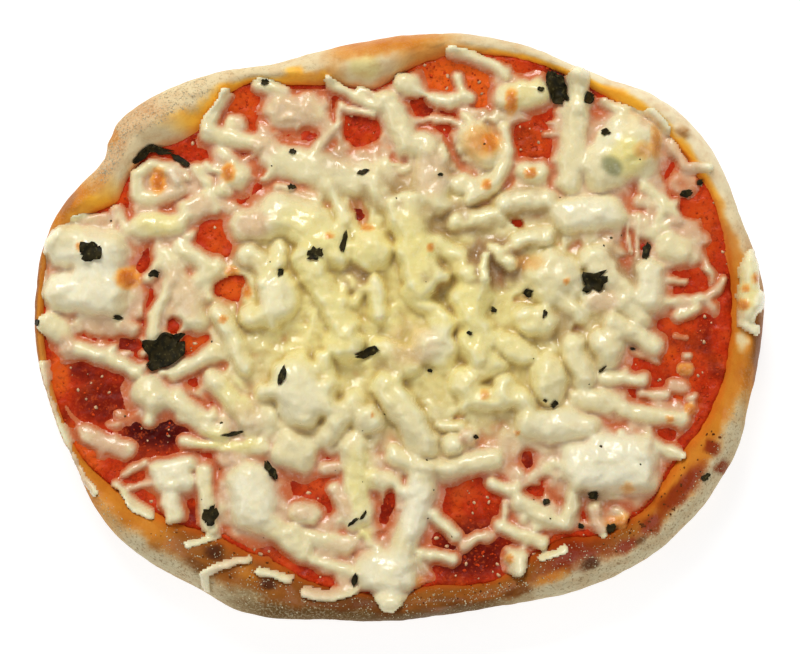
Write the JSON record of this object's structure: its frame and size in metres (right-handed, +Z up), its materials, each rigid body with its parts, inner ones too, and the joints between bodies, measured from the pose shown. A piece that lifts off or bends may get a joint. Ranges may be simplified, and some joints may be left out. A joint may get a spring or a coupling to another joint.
{
  "type": "margherita pizza",
  "caption": "Small oval margherita pizza with a floured browned rim, tomato sauce, melted shredded cheese pieces and dried basil.",
  "frame": {"origin": "centre of the flat underside, on the surface it rests on", "axes": "+X along the longer side, +Y along the shorter side, +Z up through the topping"},
  "size_m": [0.1254, 0.1014, 0.0146],
  "materials": {
    "crust": "baked dough with flour, matte",
    "sauce": "wet tomato sauce",
    "cheese": "melted cheese, soft gloss",
    "basil": "dried leaf, matte"
  },
  "bodies": {
    "root": {"basil_left": "basil", "basil_top": "basil", "cheese_block_bottom": "cheese", "cheese_block_left": "cheese", "cheese_block_top": "cheese", "cheese_block_top_middle": "cheese", "cheese_capsule_lower": "cheese", "cheese_capsule_upper": "cheese", "cheese_cube_bottom": "cheese", "cheese_disc_bottom": "cheese", "cheese_drop_bottom": "cheese", "cheese_flap_right": "cheese", "cheese_flat_top_left": "cheese", "cheese_lump_left": "cheese", "cheese_lump_lower_left": "cheese", "cheese_lump_lower_right": "cheese", "cheese_lump_right": "cheese", "cheese_lump_top": "cheese", "cheese_lump_upper_right": "cheese", "cheese_ring_left": "cheese", "cheese_rope_left": "cheese", "cheese_shred_far_left": "cheese", "cheese_shred_lower_left": "cheese", "cheese_shred_top": "cheese", "cheese_shred_top_edge": "cheese", "cheese_strand_bottom": "cheese", "cheese_strand_top": "cheese", "cheese_strand_top_left": "cheese", "cheese_strand_upper_right": "cheese", "cheese_trunk_bottom": "cheese", "cheese_wedge_lower_left": "cheese", "dough_base": "crust", "melted_cheese": "cheese", "tomato_sauce": "sauce"}
  },
  "joints": []
}
